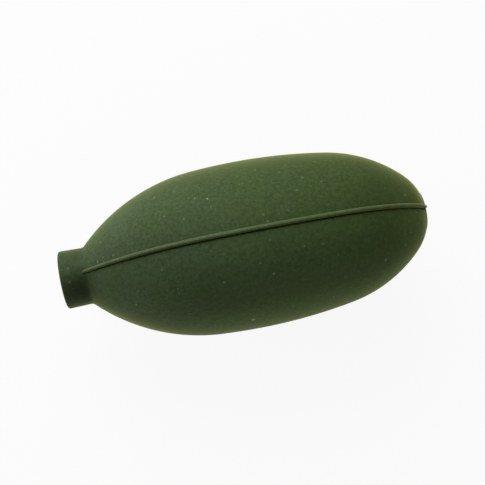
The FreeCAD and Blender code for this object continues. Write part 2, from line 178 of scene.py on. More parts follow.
class ValveForm(bpy.types.PropertyGroup):
    """Sizes of the valve and of the rubber socket that grips it."""

    stem_radius: length("Stem radius", "Radius of the valve's stem", 4 * MM)
    flange_thickness: length("Flange thickness", "Thickness of the outer flange", 1 * MM)
    barb_height: length("Barb height", "Height of the barb above the stem", 0.8 * MM)
    barb_length: length("Barb length", "Length of the barb", 2 * MM)
    recess_radius: length("Recess radius", "Radius of the recess for the screen", 3.2 * MM)
    recess_depth: length("Recess depth", "Depth of that recess", 3.2 * MM)
    seat_hole_radius: length("Seat hole radius", "Radius of the hole that the ball closes", 1.3 * MM)
    seat_web: length("Seat web", "Thickness of the web round that hole", 1.2 * MM)
    chamber_radius: length("Chamber radius", "Radius of the ball's chamber", 2.35 * MM)
    socket_face_radius: length("Socket face radius", "Outer radius of the rubber land", 6 * MM)
    socket_bevel: length("Socket bevel", "Bevel on the socket's inner edge", 1.5 * MM)
    socket_rise: length("Socket rise", "How far the rubber lip stands out round the valve", 0.15 * MM)
    gap: length("Gap", "Room between neighbouring rubber pieces", 0.3 * MM)
    clearance: length("Clearance", "Room between pressed pieces", 0.05 * MM)
    seam_depth: length("Seam depth", "Depth of the ring-shaped groove round the socket's face", 0.35 * MM)
    edge: length("Edge", "Break of the turned edges", 0.12 * MM)
    wire_radius: length("Wire radius", "Radius of the dust screen's wires", 0.055 * MM)
    wire_pitch: length("Wire pitch", "Distance between the wires", 0.3 * MM)


class Finish(bpy.types.PropertyGroup):
    """Colours of the materials, and shades as shares of the rubber's own."""

    rubber: colour("Rubber", "Main green of the rubber", (0.0405, 0.0705, 0.018))
    rubber_deep: colour("Deep rubber", "Darker, yellower green", (0.0325, 0.0585, 0.0133))
    bloom: colour("Bloom", "Powdery bloom on the rubber", (0.070, 0.104, 0.060))
    neck_bloom: share("Neck bloom", "Bloom at the neck's mouth, which fades toward the far end", 0.62)
    dust: colour("Dust", "Specks of dust", (0.30, 0.36, 0.22))
    fine_dust: share("Fine dust", "Strength of the fine specks", 0.32)
    coarse_dust: share("Coarse dust", "Strength of the coarse specks", 0.7)
    # Painted shade: how much of the green the groove beside each bead keeps.
    groove_shade_tint: colour("Grime", "What the dirt beside the beads lets through of the green", (0.12, 0.45, 0.25))
    gloss: colour("Gloss", "Tint of the rubber's gloss", (0.85, 1.0, 0.5))
    sheen: colour("Sheen", "Tint of the rubber's powdery sheen", (1.0, 1.0, 0.22))
    mottling: share("Mottling", "Strength of the rubber's sandy mottling", 0.23)
    # Darker rubber on the whole neck, fading out onto the shoulder.
    neck_shade: share("Neck shade", "Shade of the neck's handled rubber", 0.74)
    # Paler bloom on the right shoulder beside the neck, partly bloom and partly painted light.
    shoulder_bloom_and_light: share("Chalk", "Extra bloom on the right shoulder beside the neck", 0.4)
    # Painted shade on the right side of the neck.
    painted_neck_side_shade: share("Thumb shade", "Shade of the thumb mark on the neck", 0.36)
    # Painted shade on a band along the right flank.
    painted_right_shade: share("Grip shade", "Shade of the handled band on the right", 0.87)
    # Painted light on the right flank's edge: above 1, so it lightens.
    painted_right_light: number("Flank shade", "Shade of the untouched right flank", 1.25)
    # Darker wall on both sides of the seam near the neck.
    seam_shade: share("Seam shade", "Shade of the wall beside the seam near the neck", 0.78)
    # Paleness of the beads: partly rubbed rubber, partly a painted highlight.
    bead_rubbing: share("Bead rubbing", "How far the rubbed beads have turned pale", 0.09)
    nickel: colour("Nickel", "Nickel plate", (0.50, 0.49, 0.46))
    brass: colour("Brass", "Bare brass", (0.72, 0.53, 0.25))
    steel: colour("Steel", "Steel", (0.62, 0.62, 0.63))


class StageForm(bpy.types.PropertyGroup):
    """Camera, lamps and floor."""

    camera_station: length("Camera station", "Place along the axis that the camera stands over", 35.8 * MM)
    camera_distance: length("Camera distance", "Distance from the axis", 300 * MM)
    seam_roll: turn("Seam roll", "How far the camera stands round from the upper bead", 9.45)
    yaw: turn("Yaw", "Turn of the view along the axis", 3.615)
    tilt: turn("Tilt", "How far the axis rises in the picture", 10.954)
    frame_side: length("Frame side", "Width of what the camera sees at its distance", 144.36 * MM)
    aim_right: shift("Aim right", "Shift of the view to the right, at the camera's distance", -0.65 * MM)
    aim_up: shift("Aim up", "Shift of the view up, at the camera's distance", 0.94 * MM)
    lamp_distance: length("Lamp distance", "Distance of the lamps from the object", 600 * MM)
    lamp_side: length("Lamp side", "Side of the square lamps", 450 * MM)
    sky: share("Sky", "Brightness of the surroundings as they light the object", 0.14)
    shadow_share: share("Shadow", "How much of the floor's own shading shows near the object", 0.08)
    shadow_reach: length("Shadow reach", "Distance at which the floor turns evenly white", 400 * MM)


# Each lamp's direction from the axis and its height above the floor in degrees, and its power in watts.
LAMPS = {"key": (97, 38, 3.25), "fill": (150, 18, 1.55), "side": (290, 8, 1.0)}
for lamp, (azimuth, height, power) in LAMPS.items():
    title = lamp.title()
    StageForm.__annotations__ |= {
        f"{lamp}_azimuth": turn(f"{title} azimuth", f"Direction of the {lamp} lamp from the axis", azimuth),
        f"{lamp}_height": turn(f"{title} height", f"Height of the {lamp} lamp above the floor", height),
        f"{lamp}_power": number(f"{title} power", f"Power of the {lamp} lamp, in watts", power),
    }


# --- sections: outlines in the plane of the axis, each point an x and a distance from the axis ---


def direction(angle):
    """The unit vector at an angle from the axis."""
    return Vector((math.cos(angle), math.sin(angle)))


def angle_of(vector):
    """The angle of a vector from the axis."""
    return math.atan2(vector.y, vector.x)


def touching_circle(touch, outward, centre, radius=0.0):
    """Centre and radius of the circle that faces outward at a point and touches a smaller one inside it.

    With no radius it passes through the smaller circle's centre.
    """
    away = touch - centre
    reach = (away.dot(away) - radius**2) / (2 * (away.dot(outward) - radius))
    return touch - outward * reach, reach


class Outline:
    """The outline of the bulb: five arcs, each tangent to the next, from the neck to the far pole."""

    def __init__(self, form):
        self.form = form
        self.pole = high("valve_body").x + form.land_depth
        crown = Vector((form.crown_station, form.bulb_radius))
        root = Vector((form.neck_length, form.neck_root_radius))
        join = Vector((form.shoulder_station, form.bulb_radius - form.shoulder_drop))
        far_join = Vector((self.pole - form.far_shoulder_station, form.bulb_radius - form.far_shoulder_drop))
        tip = (Vector((self.pole - form.tip_arc, 0)), form.tip_arc)
        near_crown = touching_circle(crown, UP, join)
        far_crown = touching_circle(crown, UP, far_join)
        shoulder = touching_circle(join, (join - near_crown[0]).normalized(), root)
        far_shoulder = touching_circle(far_join, (far_join - far_crown[0]).normalized(), *tip)
        self.circles = [shoulder, near_crown, far_crown, far_shoulder, tip]
        self.turns = [
            angle_of(join - near_crown[0]),
            angle_of(crown - far_crown[0]),
            angle_of(far_join - far_crown[0]),
            angle_of(tip[0] - far_shoulder[0]),
        ]

    def spot(self, height, side, depth=0.0):
        """The point at a height: on the shoulder for side -1, on the tip for side 1."""
        centre, radius = self.circles[0 if side < 0 else -1]
        rise = height - centre.y
        return Vector((centre.x + side * math.sqrt((radius - depth) ** 2 - rise**2), height))

    def points(self, depth, first, last, step):
        """Points at a depth below the surface, from a first point to a last one."""
        turns = [angle_of(first - self.circles[0][0]), *self.turns, angle_of(last - self.circles[-1][0])]
        found = []
        for (centre, radius), start, end in zip(self.circles, turns, turns[1:]):
            found += arc_points(centre, radius - depth, start, end, step)
        return distinct(found)

    def outer_line(self, opening):
        """Points along the outside, from the neck's root round its fillet to the valve's opening."""
        form = self.form
        centre, radius = self.circles[0]
        root = form.neck_root_radius + form.neck_fillet
        rise = root - centre.y
        hollow = Vector((centre.x - math.sqrt((radius + form.neck_fillet) ** 2 - rise**2), root))
        meeting = centre + (hollow - centre).normalized() * radius
        fillet_end = angle_of(centre - hollow)
        last = self.spot(opening, 1)
        nearly = self.spot(opening + form.fine_reach, 1)
        return distinct(
            [
                *arc_points(hollow, form.neck_fillet, -math.pi / 2, fillet_end, form.fine_step),
                *self.points(0, meeting, nearly, form.mesh_step),
                *arc_between(self.circles[-1], nearly, last, form.fine_step),
            ]
        )


def arc_points(centre, radius, start, end, step):
    """Points along an arc from one angle to another."""
    count = max(2, math.ceil(abs(end - start) * radius / step))
    return [centre + direction(start + (end - start) * i / count) * radius for i in range(count + 1)]


def arc_between(circle, first, last, step, depth=0.0):
    """Points along an arc at a depth inside a circle, from the direction of one point to another's."""
    centre, radius = circle
    return arc_points(centre, radius - depth, angle_of(first - centre), angle_of(last - centre), step)


def bead_sizes(path, bead):
    """The size that the node group gives the bead at each point of its path, as a share of the full one."""
    along = [0.0, *accumulate((b - a).length for a, b in zip(path, path[1:]))]
    sizes = []
    for done in along:
        grown = min(done / bead.growth, 1.0)
        near = min(done, along[-1] - done, bead.rounding) / bead.rounding
        size = bead.start_scale + (1 - bead.start_scale) * grown**2 * (3 - 2 * grown)
        sizes.append(size * math.sqrt(1 - (1 - near) ** 2))
    return sizes


def distinct(points):
    """The points without those that repeat the one before."""
    return [point for i, point in enumerate(points) if not i or (point - points[i - 1]).length > WELD]


def rounded(corners, steps=6):
    """A closed section whose corners, each an x, a radius and a rounding, are rounded off."""
    points = []
    for before, corner, after in zip(corners[-1:] + corners[:-1], corners, corners[1:] + corners[:1]):
        spot, rounding = Vector(corner[:2]), corner[2]
        if not rounding:
            points.append(spot)
            continue
        back = (Vector(before[:2]) - spot).normalized()
        on = (Vector(after[:2]) - spot).normalized()
        half = back.angle(on) / 2
        centre = spot + (back + on).normalized() * rounding / math.sin(half)
        start = angle_of(spot + back * rounding / math.tan(half) - centre)
        sweep = (math.pi - 2 * half) * math.copysign(1, on.cross(back))
        points += [centre + direction(start + sweep * i / steps) * rounding for i in range(steps + 1)]
    return points


# --- meshes ---


def finish_mesh(mesh):
    """Turns the faces outward and shades them smooth, but for the sharp edges."""
    work = bmesh.new()
    work.from_mesh(mesh)
    bmesh.ops.recalc_face_normals(work, faces=work.faces)
    work.to_mesh(mesh)
    work.free()
    mesh.shade_smooth()
    mesh.set_sharp_from_angle(angle=SHARP_ANGLE)


def add_object(name, data):
    """A new object in the scene."""
    made = bpy.data.objects.new(name, data)
    bpy.context.scene.collection.objects.link(made)
    return made


def dress(mesh, material):
    """Gives a mesh one material."""
    mesh.materials.clear()
    mesh.materials.append(material)


def new_piece(name, mesh, material):
    """An object in the scene that shows a mesh."""
    dress(mesh, material)
    return add_object(name, mesh)


def zipped(section):
    """Triangles that fill a thin closed section, laid across from its first run to the run back."""
    there, back = 0, len(section) - 1
    triangles = []
    while back - there > 1:
        if (section[there + 1] - section[back]).length < (section[there] - section[back - 1]).length:
            triangles.append((there, there + 1, back))
            there += 1
        else:
            triangles.append((there, back - 1, back))
            back -= 1
    return triangles


def swept(name, section, material, columns, turn_to=None, edges=None):
    """A closed section turned about the axis: a full turn, or half a turn on one side.

    A half has an edge along the top and one along the bottom; edges gives how far from the middle plane
    each point of the section ends there.
    """
    half = turn_to is not None
    rows = columns + 1 if half else columns
    starts = [0] * len(section)
    if half:
        starts = [math.asin(edge / spot.y) for edge, spot in zip(edges, section)]
    sweep = turn_to * math.pi if half else math.tau
    vertices = []
    for row in range(rows):
        for (x, radius), start in zip(section, starts):
            angle = sweep * row / columns + math.copysign(start, sweep) * (1 - 2 * row / columns)
            vertices.append((x, radius * math.sin(angle), radius * math.cos(angle)))
    count = len(section)
    faces = []
    for row in range(columns):
        this, after = row * count, (row + 1) % rows * count
        for i in range(count):
            j = (i + 1) % count
            faces.append((this + i, this + j, after + j, after + i))
    if half:
        cap = zipped(section)
        faces += [tuple(row * count + i for i in triangle) for row in (0, columns) for triangle in cap]
    mesh = bpy.data.meshes.new(name)
    mesh.from_pydata(vertices, [], faces)
    finish_mesh(mesh)
    return new_piece(name, mesh, material)


def baked(name, source, material):
    """A plain mesh piece made from an object with live modifiers, which is then removed."""
    graph = bpy.context.evaluated_depsgraph_get()
    mesh = bpy.data.meshes.new_from_object(source.evaluated_get(graph))
    bpy.data.objects.remove(source)
    mesh.name = name
    finish_mesh(mesh)
    return new_piece(name, mesh, material)


# --- node trees ---


class Tree:
    """Adds nodes to a tree and links them."""

    def __init__(self, tree):
        self.tree = tree
        self.tree.nodes.clear()

    def node(self, kind, inputs=None, **settings):
        """Adds a node; an input is a number, a vector, a colour or another node's output."""
        made = self.tree.nodes.new(kind)
        for name, value in settings.items():
            setattr(made, name, value)
        for name, value in (inputs or {}).items():
            socket = made.inputs[name]
            if isinstance(value, bpy.types.NodeSocket):
                self.tree.links.new(value, socket)
            else:
                socket.default_value = (*value, 1) if socket.type == "RGBA" else value
        return made

    def out(self, kind, inputs=None, **settings):
        """Adds a node and gives its first output."""
        return self.node(kind, inputs, **settings).outputs[0]

    def math(self, operation, *values, clamp=False):
        """The result of a Math node."""
        return self.out("ShaderNodeMath", dict(enumerate(values)), operation=operation, use_clamp=clamp)

    def times(self, first, *others):
        """The product of values."""
        for other in others:
            first = self.math("MULTIPLY", first, other)
        return first

    def vector(self, *parts):
        """A vector made of its parts."""
        return self.out("ShaderNodeCombineXYZ", dict(enumerate(parts)))

    def parts(self, vector):
        """The three parts of a vector."""
        return self.node("ShaderNodeSeparateXYZ", {0: vector}).outputs

    def size_of(self, vector):
        """The length of a vector."""
        return self.node("ShaderNodeVectorMath", {0: vector}, operation="LENGTH").outputs["Value"]

    def span(self, value, start, end, low_result=0.0, high_result=1.0):
        """A value carried from one range to another, held at its ends."""
        inputs = dict(enumerate((value, start, end, low_result, high_result)))
        return self.out("ShaderNodeMapRange", inputs, clamp=True)

    def fade(self, value, start, end):
        """1 below a slope and 0 above it."""
        return self.span(value, start, end, 1.0, 0.0)

    def band(self, value, start, full, until, end):
        """1 inside a band and 0 outside, with a slope on each side."""
        return self.math("MINIMUM", self.span(value, start, full), self.fade(value, until, end))

    def mix(self, factor, first, second, blend="MIX"):
        """The mix of two colours."""
        inputs = {0: factor, 6: first, 7: second}
        return self.node("ShaderNodeMix", inputs, data_type="RGBA", blend_type=blend).outputs[2]


def surface(name, build):
    """A procedural material whose shader a function builds, made once."""
    material = bpy.data.materials.get(name)
    if material is None:
        material = bpy.data.materials.new(name)
        material.use_nodes = True
        tree = Tree(material.node_tree)
        spot = tree.node("ShaderNodeTexCoord").outputs["Object"]
        tree.node("ShaderNodeOutputMaterial", {"Surface": build(tree, spot)})
    return material


def noise(tree, spot, scale, detail, roughness):
    """Soft noise of a given number of spots per metre, about 0.5."""
    inputs = {"Vector": spot, "Scale": scale, "Detail": detail, "Roughness": roughness}
    return tree.node("ShaderNodeTexNoise", inputs).outputs["Fac"]


def specks(tree, spot, scale, size, rarity, faintness=0.0):
    """Scattered small dots: up to 1 inside a dot and 0 outside. Faintness makes the most of them weak."""
    cells = tree.node("ShaderNodeTexVoronoi", {"Vector": spot, "Scale": scale})
    parts = tree.node("ShaderNodeSeparateColor", {"Color": cells.outputs["Color"]})
    inside = tree.math("LESS_THAN", cells.outputs["Distance"], tree.times(parts.outputs[1], size))
    kept = tree.math("GREATER_THAN", parts.outputs[0], rarity)
    return tree.times(inside, kept, tree.math("POWER", parts.outputs[2], faintness))


# --- materials ---


MOST_NOISE = (0.35, 0.65)  # the range in which most of a noise lies,
ALL_NOISE = (0.3, 0.7)  # and nearly all of it
SAND_DEPTH = 0.06 * MM  # height of the rubber's fine grain
RUBBER_ROUGHNESS = (0.54, 0.66)  # where the grain is low and where it is high
BLOOM_PATCHES = (1.25, 0.6)  # strength of the bloom on the deep green and on the main green

# Where the painted shade and light, the darker neck and seam and the extra bloom fade, along the axis from
# the neck's mouth,
NECK_SPAN = (6.5 * MM, 12 * MM)
NECK_SIDE_RIM_FADE = (0.0, 5 * MM, 0.4, 1.0)  # with how strong the painted shade on the neck's right side is at each
SEAM_DARKER_SPAN = (25 * MM, 48 * MM)
BODY_PAINTED_SPAN = (25 * MM, 40 * MM)
SHOULDER_BLOOM_AND_LIGHT = (12 * MM, 36 * MM)
GROOVE_SHADE_START = (1 * MM, 12 * MM)  # past the neck's root
GROOVE_SHADE_STOP = 2 * MM  # before the far end
# across the seam, positive to the left,
GROOVE_SHADE_BLUR = 0.1 * MM
NECK_SIDE_BAND = (-8.6 * MM, -6 * MM, -3 * MM, 1.5 * MM)
BESIDE_SEAM = (1 * MM, 12 * MM)
BLOOM_AND_LIGHT_SIDE = (-16 * MM, -6 * MM)
# and across the seam as a share of the distance from the axis.
RIGHT_SHADE_BAND = (-0.84, -0.74, -0.5, -0.2)
RIGHT_LIGHT_EDGE = (-0.93, -0.80)


def groove_painted_shade(tree, along, across):
    """Painted shade in the groove along each bead's right side: 1 in the groove and 0 elsewhere."""
    bead, root = bpy.context.scene.bulb_bead, bpy.context.scene.bulb_form.neck_length
    near = bead.offset - bead.width / 2
    far = near - bead.groove
    groove = tree.band(across, far - GROOVE_SHADE_BLUR, far, near, near + GROOVE_SHADE_BLUR)
    groove = tree.math("MINIMUM", groove, tree.span(along, root + GROOVE_SHADE_START[0], root + GROOVE_SHADE_START[1]))
    return tree.times(groove, tree.fade(along, low("valve_socket").x, high("valve_socket").x - GROOVE_SHADE_STOP))


def painted_light_and_darkening(tree, along, across, round_side):
    """Where the rubber is darker and where shade and light are painted on it, from 0 to 1, and its shade
    there.
    """
    finish = bpy.context.scene.bulb_finish
    # Darker on the neck, fading out onto the shoulder.
    neck = tree.fade(along, *NECK_SPAN)
    body = tree.span(along, *BODY_PAINTED_SPAN)
    # Painted shade on the right side of the neck, weaker toward its rim.
    neck_side_shade = tree.times(tree.band(across, *NECK_SIDE_BAND), neck, tree.span(along, *NECK_SIDE_RIM_FADE))
    # Darker wall on both sides of the seam near the neck.
    beside = tree.times(
        tree.fade(tree.math("ABSOLUTE", across), *BESIDE_SEAM),
        tree.fade(along, *SEAM_DARKER_SPAN),
        tree.math("SUBTRACT", 1.0, neck),
    )
    return (
        (neck, finish.neck_shade),
        (neck_side_shade, finish.painted_neck_side_shade),
        (beside, finish.seam_shade),
        # Painted shade on a band of the right flank, and painted light on its edge.
        (tree.times(tree.band(round_side, *RIGHT_SHADE_BAND), body), finish.painted_right_shade),
        (tree.times(tree.fade(round_side, *RIGHT_LIGHT_EDGE), body), finish.painted_right_light),
    )


def rubber(tree, spot, rubbed=0.0):
    """Dark green moulded rubber: mottled, powdery with bloom, with a fine grain, specks of dust, and painted
    shade and light.
    """
    finish = bpy.context.scene.bulb_finish
    sand = noise(tree, spot, scale=1000, detail=2, roughness=0.7)
    cloud = noise(tree, spot, scale=60, detail=3, roughness=0.6)
    green = tree.mix(tree.span(cloud, *MOST_NOISE), finish.rubber_deep, finish.rubber)
    along, across, up = tree.parts(spot)
    round_side = tree.math("DIVIDE", across, tree.size_of(tree.vector(0.0, across, up)))
    toward_neck = tree.span(along, 0.0, high("left_shell").x, finish.neck_bloom, 0.0)
    # Extra bloom on the right shoulder beside the neck: partly bloom, partly painted light.
    shoulder_bloom_and_light = tree.span(along, *SHOULDER_BLOOM_AND_LIGHT, finish.shoulder_bloom_and_light, 0.0)
    bloom_and_light = tree.math("ADD", toward_neck, tree.times(shoulder_bloom_and_light, tree.fade(across, *BLOOM_AND_LIGHT_SIDE)))
    green = tree.mix(tree.times(tree.span(cloud, *ALL_NOISE, *BLOOM_PATCHES), bloom_and_light), green, finish.bloom)
    grained = tree.span(sand, *MOST_NOISE, 1 - finish.mottling, 1 + finish.mottling)
    # Darker neck and seam, painted shade and painted light, each multiplied into the grain.
    for amount, shade in painted_light_and_darkening(tree, along, across, round_side):
        grained = tree.times(grained, tree.span(amount, 0.0, 1.0, 1.0, shade))
    grey = tree.out("ShaderNodeCombineColor", {0: grained, 1: grained, 2: grained})
    green = tree.mix(1.0, green, grey, "MULTIPLY")
    # Painted shade in the groove beside each bead.
    green = tree.mix(groove_painted_shade(tree, along, across), green, finish.groove_shade_tint, "MULTIPLY")
    fine = specks(tree, spot, scale=560, size=0.24, rarity=0.3, faintness=2.0)
    coarse = specks(tree, spot, scale=130, size=0.08, rarity=0.75)
    dust = tree.math("MAXIMUM", tree.times(fine, finish.fine_dust), tree.times(coarse, finish.coarse_dust))
    # Dust specks, and the beads' paler tone: partly rubbed rubber, partly a painted highlight.
    green = tree.mix(tree.math("MAXIMUM", dust, rubbed), green, finish.dust)
    bump = tree.out("ShaderNodeBump", {"Height": sand, "Distance": SAND_DEPTH, "Strength": 1.0})
    inputs = {
        "Base Color": green,
        "Roughness": tree.span(sand, *ALL_NOISE, *RUBBER_ROUGHNESS),
        "Specular IOR Level": 0.08,
        "Specular Tint": finish.gloss,
        "Sheen Weight": 0.44,
        "Sheen Roughness": 0.35,
        "Sheen Tint": finish.sheen,
        "Normal": bump,
    }
    return tree.out("ShaderNodeBsdfPrincipled", inputs)


METALS = {  # the colour, the roughness, and the depth and number per metre of the turning's rings
    "satin_nickel": ("nickel", 0.28, 0.01 * MM, 3500),
    "stamped_brass": ("brass", 0.36, 0.008 * MM, 5000),
    "ball_steel": ("steel", 0.1, 0.001 * MM, 3000),
    "drawn_wire": ("steel", 0.3, 0.004 * MM, 12000),
}
INNER_DARKENING = (0.8 * MM, 0.2 * MM)  # depths in the valve's face where the darkening is full and where it ends
INNER_DARKENING_SHARE = 0.8  # strength of that darkening
STAIN_PATCHES = (0.35, 0.75, 0.0, 0.4)  # the noise at a stain's edge and middle, and its strength there
RING_WEAR = (0.4, 0.6, 0.0, 0.3)  # the same for the rings of turning
STAIN_ROUGHNESS = (-0.06, 0.1)  # what clean and stained metal add to the roughness
STAINED = 0.35  # what the full stain, wear and darkening leave of the metal's colour


def metal(name):
    """A stained metal with the fine rings of turning round the bulb's axis, darker deep inside the valve's
    face.
    """
    tint, roughness, ring_depth, ring_scale = METALS[name]
    base = tuple(getattr(bpy.context.scene.bulb_finish, tint))

    def build(tree, spot):
        along, across, up = tree.parts(spot)
        place = tree.vector(tree.size_of(tree.vector(0.0, across, up)), along)
        rings = noise(tree, place, scale=ring_scale, detail=2, roughness=0.6)
        stain = noise(tree, spot, scale=500, detail=4, roughness=0.6)
        amount = tree.math("ADD", tree.span(stain, *STAIN_PATCHES), tree.span(rings, *RING_WEAR))
        inner = [high("valve_body").x - depth for depth in INNER_DARKENING]
        amount = tree.math("ADD", amount, tree.span(along, *inner, INNER_DARKENING_SHARE, 0.0))
        dull = tree.mix(tree.math("MINIMUM", amount, 1.0), base, [value * STAINED for value in base])
        bump = tree.out("ShaderNodeBump", {"Height": rings, "Distance": ring_depth, "Strength": 0.5})
        rough = tree.math("ADD", tree.span(stain, *ALL_NOISE, *STAIN_ROUGHNESS), roughness)
        inputs = {"Base Color": dull, "Metallic": 1.0, "Roughness": rough, "Normal": bump}
        return tree.out("ShaderNodeBsdfPrincipled", inputs)

    return surface(name, build)


def rubber_surface():
    """The rubber of the walls, neck and socket."""
    return surface("moulded_rubber", rubber)


def rubbed_and_highlit_surface():
    """The same rubber, a little paler on the raised beads: partly rubbed, partly a painted highlight."""
    rubbing_and_highlight = bpy.context.scene.bulb_finish.bead_rubbing
    return surface("rubbed_rubber", lambda tree, spot: rubber(tree, spot, rubbing_and_highlight))


# --- geometry node groups ---


def new_group(name, inputs):
    """A geometry node group with named inputs, each of a kind of socket, its tree and its inputs there."""
    group = bpy.data.node_groups.new(name, "GeometryNodeTree")
    for label, socket in {"Geometry": "Geometry", **inputs}.items():
        group.interface.new_socket(label, in_out="INPUT", socket_type=f"NodeSocket{socket}")
    group.interface.new_socket("Geometry", in_out="OUTPUT", socket_type="NodeSocketGeometry")
    tree = Tree(group)
    return group, tree, tree.node("NodeGroupInput").outputs


def use_group(piece, group, values):
    """Adds a node group to an object as a modifier and sets its inputs by their identifiers."""
    modifier = piece.modifiers.new(group.name, "NODES")
    modifier.node_group = group
    for socket in group.interface.items_tree:
        if socket.in_out == "INPUT" and socket.name in values:
            modifier[socket.identifier] = values[socket.name]


def end_with_sweep(tree, material, sweep):
    """Sweeps a profile along curves, gives the mesh a material and ends the group with it."""
    made = tree.out("GeometryNodeCurveToMesh", {"Fill Caps": True, **sweep})
    real = tree.out("GeometryNodeRealizeInstances", {"Geometry": made})
    dressed = tree.out("GeometryNodeSetMaterial", {"Geometry": real, "Material": material})
    tree.node("NodeGroupOutput", {"Geometry": dressed})


def bead_group():
    """A bead along a curve: it grows out of the wall, reaches its full size and ends rounded."""
    inputs = dict.fromkeys(("Start Scale", "Growth", "Rounding"), "Float")
    group, tree, given = new_group("seam_bead", {**inputs, "Profile": "Object", "Material": "Material"})
    along = tree.node("GeometryNodeSplineParameter").outputs["Length"]
    left = tree.math("SUBTRACT", tree.out("GeometryNodeSplineLength"), along)
    grown = {"Value": tree.math("DIVIDE", along, given["Growth"]), "To Min": given["Start Scale"]}
    grown = tree.out("ShaderNodeMapRange", grown, interpolation_type="SMOOTHSTEP")
    near = tree.math("DIVIDE", tree.math("MINIMUM", along, left), given["Rounding"], clamp=True)
    short = tree.math("SUBTRACT", 1.0, near)
    ends = tree.math("SQRT", tree.math("SUBTRACT", 1.0, tree.times(short, short), clamp=True))
    profile = tree.node("GeometryNodeObjectInfo", {"Object": given["Profile"]}).outputs["Geometry"]
    upright = tree.out("GeometryNodeSetCurveNormal", {"Curve": given["Geometry"]}, mode="Z_UP")
    sweep = {"Curve": upright, "Profile Curve": profile, "Scale": tree.times(grown, ends)}
    end_with_sweep(tree, given["Material"], sweep)
    return group


WIRE_SIDES = 6
WIRE_STEP = 0.2  # spacing of the points along a wire, as a share of the pitch


def gauze_group():
    """Woven wire: straight wires laid side by side, cut to a disc and bent over and under each other."""
    inputs = dict.fromkeys(("Radius", "Pitch", "Wire Radius", "Crossing"), "Float")
    group, tree, given = new_group("woven_wire", {**inputs, "Wires": "Int", "Material": "Material"})
    pitch, count = given["Pitch"], given["Wires"]
    middle = tree.times(tree.math("SUBTRACT", count, 1.0), tree.times(pitch, -0.5))
    row = {"Count": count, "Start Location": tree.vector(middle), "Offset": tree.vector(pitch)}
    row = tree.out("GeometryNodeMeshLine", row)
    place = tree.parts(tree.out("GeometryNodeInputPosition"))
    squares = [tree.times(value, value) for value in (given["Radius"], place[0])]
    half = tree.math("SQRT", tree.math("MAXIMUM", tree.math("SUBTRACT", *squares), 0.0))
    wire = tree.out("GeometryNodeCurvePrimitiveLine", {"Start": (0, -1, 0), "End": (0, 1, 0)})
    laid = {"Points": row, "Instance": wire, "Scale": tree.vector(1.0, half, 1.0)}
    wires = tree.out("GeometryNodeInstanceOnPoints", laid)
    loose = tree.out("GeometryNodeRealizeInstances", {"Geometry": wires})
    fine = {"Curve": loose, "Length": tree.times(pitch, WIRE_STEP)}
    fine = tree.out("GeometryNodeResampleCurve", fine, mode="LENGTH")
    steps = [tree.math("DIVIDE", tree.math("SUBTRACT", place[i], middle), pitch) for i in (0, 1)]
    swing = tree.math("ADD", tree.math("ADD", steps[1], steps[0]), given["Crossing"])
    swing = tree.math("COSINE", tree.times(swing, math.pi))
    lift = tree.vector(0.0, 0.0, tree.times(swing, given["Wire Radius"]))
    bent = tree.out("GeometryNodeSetPosition", {"Geometry": fine, "Offset": lift})
    ring = {"Resolution": WIRE_SIDES, "Radius": given["Wire Radius"]}
    ring = tree.out("GeometryNodeCurvePrimitiveCircle", ring)
    end_with_sweep(tree, given["Material"], {"Curve": bent, "Profile Curve": ring})
    return group


# --- pieces ---


def stand_for(piece, node):
    """Attaches a rigid piece to the rubber's body and hides the piece of the frame that it stands for."""
    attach(piece, RUBBER_BODY)
    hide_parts(node)


def seam_path(scene):
    """The outline and its outer line from the neck's root to the rim of the valve's opening."""
    outline = Outline(scene.bulb_form)
    valve = scene.bulb_valve
    return outline, outline.outer_line(valve.socket_face_radius + valve.gap + scene.bulb_form.lip_round)


class HANDBULB_OT_wall_skins(bpy.types.Operator):
    """Makes the two soft halves of the wall, grooved where the beads run"""

    bl_idname = "handbulb.wall_skins"
    bl_label = "Wall skins"

    def execute(self, context):
        form, valve, bead = context.scene.bulb_form, context.scene.bulb_valve, context.scene.bulb_bead
        outline, outer = seam_path(context.scene)
        sizes = bead_sizes(outer, bead)
        reach = {"left": bead.width / 2 + bead.offset, "right": bead.width / 2 - bead.offset + bead.groove}
        opening = valve.socket_face_radius + valve.gap
        recess = form.neck_root_radius - form.lip_round
        lip = outline.spot(opening + form.lip_round, 1, form.lip_round)
        outward = angle_of(lip - outline.circles[-1][0])
        inside = arc_points(lip, form.lip_round, outward, -math.pi / 2, form.lip_round / 4)
        ends = outline.spot(recess, -1, form.wall), outline.spot(opening, 1, form.wall)
        inside += reversed(outline.points(form.wall, *ends, form.mesh_step * 3))
        inside.append(Vector((outer[0].x, recess)))
        section = distinct([*outer, *inside])
        sizes += [0.0] * (len(section) - len(sizes))
        for side, sign in SIDES.items():
            edges = [size * reach[side] for size in sizes]
            skin = swept(f"{side}_wall_skin", section, rubber_surface(), form.skin_turns, sign, edges)
            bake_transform(skin)
            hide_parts(f"{side}_shell")
        return {"FINISHED"}


def flat_curve(name, points, closed=False):
    """A curve of straight runs through points."""
    curve = bpy.data.curves.new(name, "CURVE")
    curve.dimensions = "3D"
    spline = curve.splines.new("POLY")
    spline.points.add(len(points) - 1)
    spline.use_cyclic_u = closed
    for point, spot in zip(spline.points, points):
        point.co = (*spot, 1)
    return add_object(name, curve)


